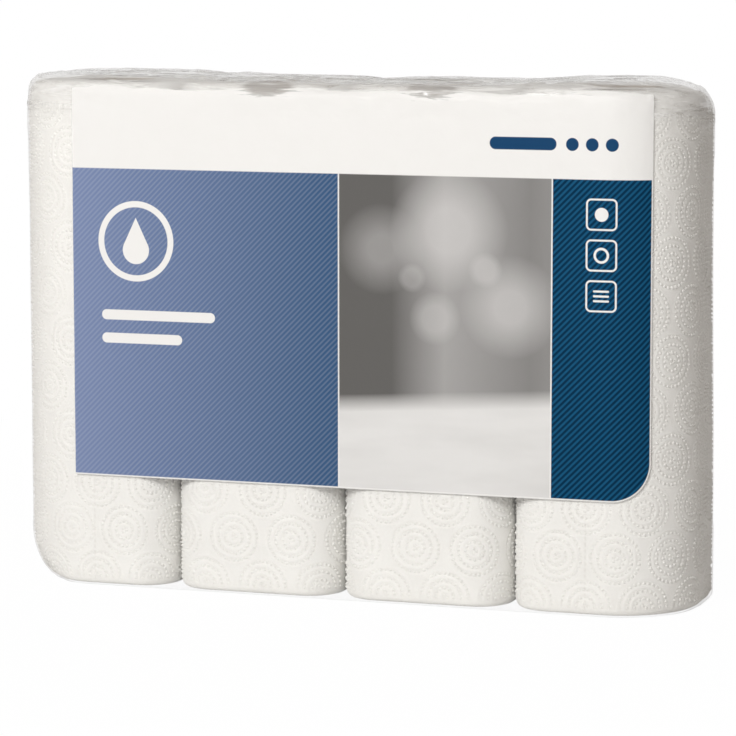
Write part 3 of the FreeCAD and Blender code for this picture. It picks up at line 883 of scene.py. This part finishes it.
@dataclass
class PaperRoll:
    """One wound roll: its skin, rims, wound ends, sheet tail and embossing; sizes in millimetres."""

    number: int
    half_width: float = 44.9
    depth: float = 50.0
    corner_radius: float = 20.0
    end_radius: float = 42.0
    end_bulge: float = 0.7
    top_rim: float = 6.0
    bottom_rim: float = 3.0
    bore: float = 22.15
    foot: float = 0.8
    height: float = 260.0
    skin_inset: float = 0.5
    tail_thickness: float = 0.6
    tail_angles: tuple[float, float, float] = (22.0, 50.0, 72.0)
    wave: float = 0.28
    wave_pitch: tuple[float, float] = (26.0, 38.0)
    turn: float = 7.3
    dot_margins: tuple[float, float] = (1.5, 1.0)
    perforations: tuple[float, ...] = (5.1, 62.0, 62.0, -6.2)
    columns: int = 168
    body_rows: int = 34
    end_rings: int = 18

    @property
    def name(self) -> str:
        """Name of the CAD node that the roll stands for."""
        return "roll_%d" % self.number

    def centre(self) -> float:
        """Middle of the roll along the row."""
        low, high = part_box("core_%d" % self.number)
        return (low.x + high.x) / 2 / MM

    def outline(self) -> Outline:
        """The skin's outline about the roll's own middle."""
        swollen = self.half_width + self.end_bulge
        first, last = self.number == 1, self.number == 4
        return Outline((swollen if first else self.half_width) - self.skin_inset,
                       (swollen if last else self.half_width) - self.skin_inset,
                       self.depth - self.skin_inset,
                       (self.end_radius if first else self.corner_radius) - self.skin_inset,
                       (self.end_radius if last else self.corner_radius) - self.skin_inset)

    def rim(self, size: float) -> list[tuple[float, float]]:
        """Crushed rim as pairs of inset and distance from the end."""
        return [(size, 0.0), (size * 0.62, size * 0.1), (size * 0.36, size * 0.3),
                (size * 0.14, size * 0.62), (0.0, size * 1.1)]

    def map_rosettes(self, skin: bpy.types.Object, origin: float) -> None:
        """Give the skin a map that counts the columns and rows of rosettes.

        Args:
            skin: the roll without its dots.
            origin: way at which its wrap map is 0.
        """
        outline, embossing = self.outline(), Embossing()
        length = outline.length()
        step = length / round(length / embossing.column_pitch)
        (_, back, _), corner = outline.runs()[-1], outline.right_radius * math.pi / 2
        data = skin.data.uv_layers[WRAP_MAP].data
        places = np.empty(len(data) * 2, dtype=np.float32)
        data.foreach_get("uv", places)
        along, up = places.reshape(-1, 2).T / MM
        column = (along + origin + back + corner - self.phase()) / step
        row = (up - self.lowest_dot()) / (2 * embossing.row_pitch)
        made = skin.data.uv_layers.new(name=ROSETTE_MAP)
        made.data.foreach_set("uv", np.column_stack([column, row]).astype(np.float32).ravel())

    def phase(self) -> float:
        """How far the embossing is turned round the roll."""
        return self.turn * self.number

    def lowest_dot(self) -> float:
        """Height at which the embossing begins."""
        return self.foot + self.bottom_rim + self.dot_margins[0]

    def skin(self) -> bpy.types.Object:
        """Build the roll without its dots."""
        outline = self.outline()
        places, outwards, ways = outline.points(self.columns)
        centre = np.array([self.centre(), 0.0])
        low, high = self.foot, self.foot + self.height
        surface = Surface(self.name + "_skin", self.columns)
        tail = self.tail(places, outwards)

        def lay(swell: Array | float, level: float) -> None:
            """Add the outline at a level, moved outwards by its swell."""
            flat = places + outwards * np.broadcast_to(swell, (self.columns,))[:, None]
            surface.add(np.column_stack([flat + centre, np.full(self.columns, level)]), level)

        for inset, lift in self.rim(self.bottom_rim):
            lay(-inset, low + lift)
        start, stop = low + self.bottom_rim * 1.1, high - self.top_rim * 1.1
        for row in range(1, self.body_rows):
            level = start + (stop - start) * row / self.body_rows
            edge = min(1.0, min(row, self.body_rows - row) / 2)
            across, high_up = self.wave_pitch
            wave = self.wave * field_noise([(x / across + self.number * 9.1, y / across, level / high_up)
                                            for x, y in places])
            lay((tail + wave) * edge, level)
        for inset, fall in reversed(self.rim(self.top_rim)):
            lay(-inset, high - fall)
        self.add_end(surface, places - outwards * self.top_rim, centre, high, 1)
        self.add_end(surface, places - outwards * self.bottom_rim, centre, low, -1)
        middle = outline.length() / 2 + self.perforations[self.number - 1]
        made = surface.build(ways, outline.length(), Run.CLOSED, middle)
        self.map_rosettes(made, middle)
        return made

    def tail(self, places: Array, outwards: Array) -> Array:
        """How far the loose end of the outer sheet lifts the skin at each column."""
        side = -1.0 if self.number == 4 else 1.0
        angle = np.degrees(np.arctan2(outwards[:, 1], outwards[:, 0] * side))
        on_corner = (places[:, 1] > 0) & (places[:, 0] * side > 0)
        first, span, last = self.tail_angles
        share = np.clip((last - angle) / span, 0.0, 1.0)
        return np.where(on_corner & (angle >= first), self.tail_thickness * (0.15 + 0.85 * share), 0.0)

    def add_end(self, surface: Surface, rim: Array, centre: Array, level: float,
                sign: int) -> None:
        """Add the wound end between rim and bore.

        Args:
            surface: the roll's surface.
            rim: points at which the end begins.
            centre: middle of the roll.
            level: height of the end.
            sign: 1 for the upper end, which runs inwards, and -1 for the lower one, which runs outwards.
        """
        angles = math.pi / 2 + 2 * math.pi * np.arange(self.columns) / self.columns
        bore = np.column_stack([np.cos(angles), np.sin(angles)]) * self.bore
        rings = range(1, self.end_rings + 1)
        for number in rings if sign > 0 else reversed(rings):
            share = number / self.end_rings
            flat = rim * (1 - share) + bore * share
            ripple = field_noise([(x / 9 + self.number, y / 9, number * 2.3) for x, y in flat])
            sink = sign * (0.5 + 0.45 * ripple) * min(1.0, 4 * share, 6 * (1 - share) + 0.3)
            points = np.column_stack([flat + centre, level - sink * 0.8])
            surface.add(points, END_UP + END_REACH * share)

    def dots(self, tree: bpy.types.NodeTree) -> bpy.types.Object:
        """Build the embossed dots with the node tree."""
        outline = self.outline()
        holder = placed(self.name + "_dots", bpy.data.meshes.new(self.name + "_dots"))
        modifier = holder.modifiers.new("embossing", "NODES")
        modifier.node_group = tree
        values = {"Left": outline.left * MM, "Right": outline.right * MM, "Depth": outline.depth * MM,
                  "Left Radius": outline.left_radius * MM, "Right Radius": outline.right_radius * MM,
                  "Low": self.lowest_dot() * MM,
                  "High": (self.foot + self.height - self.top_rim - self.dot_margins[1]) * MM,
                  "Phase": self.phase() * MM, "Seed": self.number}
        for item in tree.interface.items_tree:
            if item.item_type == "SOCKET" and item.in_out == "INPUT" and item.name in values:
                modifier[item.identifier] = values[item.name]
        bpy.context.view_layer.update()
        evaluated = holder.evaluated_get(bpy.context.evaluated_depsgraph_get())
        mesh = bpy.data.meshes.new_from_object(evaluated)
        bpy.data.objects.remove(holder)
        mesh.transform(Matrix.Translation(Vector((self.centre() * MM, 0.0, 0.0))))
        return placed(self.name + "_dots", mesh)

    def build(self, tree: bpy.types.NodeTree, paper: bpy.types.Material,
              settling: Settling) -> bpy.types.Object:
        """Build the dressed roll.

        Args:
            tree: node tree of the embossing.
            paper: material of the paper.
            settling: how the pack has settled.

        Returns:
            The piece that stands for the CAD roll.
        """
        skin = self.skin()
        merged(skin, 0.001 * MM)
        skin.data.materials.append(paper)
        dots = self.dots(tree)
        mesh = bmesh.new()
        mesh.from_mesh(skin.data)
        mesh.from_mesh(dots.data)
        for face in mesh.faces:
            face.material_index = 0
        mesh.to_mesh(skin.data)
        mesh.free()
        bpy.data.objects.remove(dots)
        settling.settle(skin)
        skin.name = self.name + "_paper"
        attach(skin, "root")
        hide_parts(self.name)
        return skin


@dataclass
class Film:
    """The pack's clear printed film; sizes in millimetres."""

    half_length: float = 181.4
    depth: float = 50.8
    end_radius: float = 42.8
    shoulder: float = 8.0
    heel: float = 3.0
    height: float = 261.5
    valley_start: float = 15.0
    front_valley: float = 0.6
    back_valley: float = 2.4
    valley_spread: float = 9.0
    puff_middle: float = 0.5
    puff_ends: float = 2.0
    fold_height: float = 46.0
    weld_half: float = 8.0
    lap_low: float = 38.0
    lap_width: float = 14.0
    gather_range: tuple[float, float] = (240.0, 12.0)
    dip_range: tuple[float, float] = (238.0, 16.0)
    shoulder_steps: int = 11
    top_steps: int = 26
    columns: int = 720
    gaps: tuple[float, ...] = (-90.0, 0.0, 90.0)

    def levels(self) -> list[float]:
        """Heights of the rows on the upright faces."""
        shoulder_foot = self.height - self.shoulder
        return [*np.arange(4.0, 58.0, 2.5), *np.arange(60.0, 212.0, 5.0),
                *np.arange(213.0, shoulder_foot - 1.0, 2.2), shoulder_foot]

    def build(self, material: bpy.types.Material, settling: Settling) -> bpy.types.Object:
        """Build the dressed film.

        Args:
            material: the film's material.
            settling: how the pack has settled.

        Returns:
            The piece that stands for the CAD film.
        """
        outline = Outline(self.half_length, self.half_length, self.depth, self.end_radius, self.end_radius)
        places, outwards, ways = outline.points(self.columns)
        along = ways - outline.length() / 2
        spine = np.column_stack([np.clip(places[:, 0], -(self.half_length - self.depth),
                                         self.half_length - self.depth), np.zeros(self.columns)])
        surface = Surface("film", self.columns)
        gather = []

        def lay(flat: Array, level: float, tilt: float, way_up: float, gathered: float) -> None:
            """Add one ring, moved by the film's relief."""
            level = np.broadcast_to(level, (self.columns,))
            flat, level, amount = self.relief(flat, outwards, along, level, tilt, way_up, gathered)
            surface.add(np.column_stack([flat, level]), way_up)
            gather.append(amount)

        bottom = places - outwards * self.heel
        for share in (1.0, 0.75, 0.5, 0.25):
            lay(bottom * (1 - share) + spine * share, 0.0, -90.0, -60.0 * share, 0.0)
        for turn in (90.0, 60.0, 30.0, 0.0):
            sine, cosine = math.sin(math.radians(turn)), math.cos(math.radians(turn))
            lay(places - outwards * self.heel * (1 - cosine), self.heel * (1 - sine), -turn,
                self.heel * (1 - sine), 0.0)
        for level in self.levels():
            lay(places, level, 0.0, level, float(rise(np.array(level), self.gather_range)))
        top = places - outwards * self.shoulder
        way_up = self.height - self.shoulder
        for step in range(1, self.shoulder_steps + 1):
            turn = math.radians(90.0 * step / self.shoulder_steps)
            way = way_up + self.shoulder * turn
            lay(top + outwards * self.shoulder * math.cos(turn),
                self.height - self.shoulder * (1 - math.sin(turn)), math.degrees(turn), way, 1.0)
        way_up += self.shoulder * math.pi / 2
        reach = self.depth - self.shoulder
        for step in range(1, self.top_steps + 1):
            share = step / self.top_steps
            lay(top * (1 - share) + spine * share, self.height, 90.0, way_up + reach * share, 1.0)
        film = surface.build(ways, outline.length(), Run.OPEN, outline.length() / 2)
        attribute = film.data.attributes.new(GATHER_ATTRIBUTE, "FLOAT", "POINT")
        attribute.data.foreach_set("value", np.concatenate(gather).astype(np.float32))
        merged(film, 0.01 * MM)
        settling.settle(film)
        film.data.materials.append(material)
        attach(film, "root")
        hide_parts("film_wrap")
        return film

    def relief(self, flat: Array, outwards: Array, along: Array, level: Array,
               tilt: float, way_up: float, gathered: float) -> tuple[Array, Array, Array]:
        """Move one ring by crinkles, valleys, folds and seals.

        Args:
            flat: the ring's points.
            outwards: outward directions of the columns.
            along: way of the columns from the middle of the front.
            level: heights of the points.
            tilt: how far the surface there faces up, in degrees.
            way_up: way up the film to this ring.
            gathered: how much of the crinkling shows.

        Returns:
            The moved points, their heights, and how much the film is gathered.
        """
        push = np.zeros(self.columns)
        if gathered > 0:
            push += self.crinkle(along, way_up) * gathered
        if tilt == 0.0 or 0 < tilt < 60:
            push += self.upright(flat, outwards, along, float(level[0]))
        slope = math.radians(tilt)
        moved = flat + outwards * (push * math.cos(slope))[:, None]
        dip = self.valley(flat) * rise(level, self.dip_range)
        lift = (push + self.puff(flat)) * math.sin(slope) * (1.0 if tilt > 0 else 0.0)
        amount = np.full(self.columns, gathered) * (0.75 + 0.25 * np.clip(dip, 0, 1))
        return moved, level + lift - dip, amount

    def crinkle(self, along: Array, way_up: float) -> Array:
        """Sharp, slightly sloping ridges of spare film that run along the rim."""
        slanted = way_up + along * 0.05
        broad, long_fold, short_fold = (
            field_noise([(a / length, s / width, place) for a, s in zip(along, slanted)])
            for length, width, place in ((55, 11, 4.7), (30, 4.6, 1.3), (11, 3.1, 8.9)))
        long_ridge, short_ridge = (1 - 2.6 * np.abs(fold) for fold in (long_fold, short_fold))
        return np.clip(0.42 * long_ridge + 0.22 * short_ridge + 0.5 * broad - 0.35, -0.9, 0.35)

    def upright(self, flat: Array, outwards: Array, along: Array, level: float) -> Array:
        """Relief of the upright faces: ripples at the ends, folded flaps and the lap seal."""
        end = ease((np.abs(outwards[:, 0]) - 0.35) / 0.4)
        ripples = field_noise([(a / 5.5, level / 70, 2.2) for a in along])
        tautness = field_noise([(a / 40, level / 30, 6.1) for a in along])
        push = end * (0.3 * ripples - 0.3) + 0.12 * tautness - 0.05
        near = min(level, self.height - level)
        half = self.depth - (self.depth - self.weld_half) * min(1.0, near / self.fold_height)
        fold = ease((half - np.abs(flat[:, 1])) / 1.2) * (np.abs(outwards[:, 0]) > 0.5)
        push += fold * 0.35
        on_back = ease((outwards[:, 1] - 0.95) / 0.03)
        lap = ease(np.array((level - self.lap_low) / 1.5)) * ease(
            np.array((self.lap_low + self.lap_width - level) / 1.5))
        return push + on_back * lap * 0.35

    def valley(self, flat: Array) -> Array:
        """How far the film sinks over the gaps between rolls."""
        reach = self.depth - self.valley_start
        share = np.clip((np.abs(flat[:, 1]) - self.valley_start) / reach, 0, None)
        depth = share * np.where(flat[:, 1] > 0, self.back_valley, self.front_valley)
        off = np.min([np.abs(flat[:, 0] - gap) for gap in self.gaps], axis=0)
        return depth / (1 + (off / self.valley_spread) ** 2) ** 1.5

    def puff(self, flat: Array) -> Array:
        """How far the loose film stands up over the rolls, most over the two end ones."""
        left, right = ease((-55.0 - flat[:, 0]) / 40.0), ease((flat[:, 0] - 70.0) / 40.0)
        return self.puff_middle + self.puff_ends * (left + right)


@dataclass(frozen=True)
class Studio:
    """White floor and background, soft light and the photograph's camera; sizes in metres."""

    eye: tuple[float, float, float] = (0.5578, -1.6641, 0.3379)
    azimuth: float = 18.5
    pitch: float = 7.302
    lens: float = 167.4
    sky: float = 0.25
    sky_tint: Colour = (1.0, 0.9, 0.83)
    floor_glow: float = 0.985
    floor_reach: float = 6.0
    target: tuple[float, float, float] = (0.0, 0.0, 0.12)
    lamps: tuple[tuple[str, tuple[float, float, float], float, float, bool], ...] = (
        ("key", (-0.35, -2.55, 1.7), 1.0, 63.0, True), ("fill", (1.75, -2.5, 0.8), 1.2, 1.2, True),
        ("back", (-0.3, 2.7, 1.4), 1.0, 15.0, False))

    def build(self) -> None:
        """Set up the whole stage."""
        scene = bpy.context.scene
        scene.view_settings.view_transform = "Standard"
        self.camera(scene)
        self.world(scene)
        self.floor()
        for facts in self.lamps:
            self.lamp(*facts)

    def camera(self, scene: bpy.types.Scene) -> None:
        """Camera at the photograph's viewing angle."""
        data = bpy.data.cameras.new("camera")
        data.sensor_width = 36.0
        data.lens = self.lens
        data.clip_end = 100.0
        camera = placed("camera", data)
        camera.location = self.eye
        camera.rotation_euler = (math.radians(90 - self.pitch), 0.0, math.radians(self.azimuth))
        scene.camera = camera

    def world(self, scene: bpy.types.Scene) -> None:
        """White to the eye and in reflections, softer as light."""
        world = bpy.data.worlds.new("studio")
        world.use_nodes = True
        scene.world = world
        graph = Graph(world.node_tree)
        world.node_tree.nodes.clear()
        path = graph.node("ShaderNodeLightPath")
        seen = reduce(Signal.most, [Signal(graph, path.outputs["Is %s Ray" % kind])
                                    for kind in ("Camera", "Glossy", "Transmission")])
        strength = seen * (1 - self.sky) + self.sky
        colour = graph.blend(seen, self.sky_tint, (1.0, 1.0, 1.0))
        light = graph.socket("ShaderNodeBackground", None, {"Color": colour, "Strength": strength})
        graph.node("ShaderNodeOutputWorld", None, {"Surface": light})

    def floor(self) -> None:
        """Plain pale floor that keeps the pack's soft shadow."""
        mesh = bpy.data.meshes.new("floor")
        corners = ((-1, -1), (1, -1), (1, 1), (-1, 1))
        mesh.from_pydata([(x * self.floor_reach, y * self.floor_reach, 0) for x, y in corners],
                         [], [(0, 1, 2, 3)])
        floor = placed("floor", mesh)
        graph = MaterialGraph("floor")
        seen = graph.signal("ShaderNodeLightPath", None, None, "Is Camera Ray")
        x, y, _ = graph.split(graph.place())
        away = graph.distance(x, y)
        share = self.floor_glow + away.above(0.4, 0.5) * (1 - self.floor_glow)
        matt = graph.socket("ShaderNodeBsdfDiffuse", None, {"Color": (0.93, 0.93, 0.93, 1)})
        glow = graph.socket("ShaderNodeEmission", None, {"Color": (1, 1, 1, 1), "Strength": 1.0})
        mix = graph.socket("ShaderNodeMixShader", None, {0: seen * share, 1: matt, 2: glow})
        graph.node("ShaderNodeOutputMaterial", None, {"Surface": mix})
        mesh.materials.append(graph.material)

    def lamp(self, name: str, place: tuple[float, float, float], size: float, power: float,
             mirrored: bool) -> None:
        """One square soft box that faces the pack, seen in glossy surfaces only if it is mirrored."""
        data = bpy.data.lights.new(name, "AREA")
        data.size = size
        data.energy = power
        lamp = placed(name, data)
        lamp.location = place
        lamp.visible_glossy = mirrored
        back = np.array(place) - np.array(self.target)
        lamp.rotation_euler = (math.acos(back[2] / np.linalg.norm(back)), 0.0,
                               math.atan2(back[0], -back[1]))


def main() -> None:
    """Build the pack's looks and its stage."""
    logging.basicConfig(level=logging.INFO, format="%(name)s: %(message)s")
    Studio().build()
    paper = PaperFinish().make()
    board = CardboardFinish().make()
    tree = Embossing().tree(paper)
    settling = Settling()
    for number in range(1, 5):
        roll = PaperRoll(number).build(tree, paper, settling)
        log.info("%s has %d faces", roll.name, len(roll.data.polygons))
        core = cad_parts["core_%d" % number]
        core.data.materials.clear()
        core.data.materials.append(board)
        log.info("%s wears %s", core.name, board.name)
    film = Film().build(FilmFinish().make(), settling)
    log.info("%s has %d faces", film.name, len(film.data.polygons))


if __name__ == "__main__":
    main()
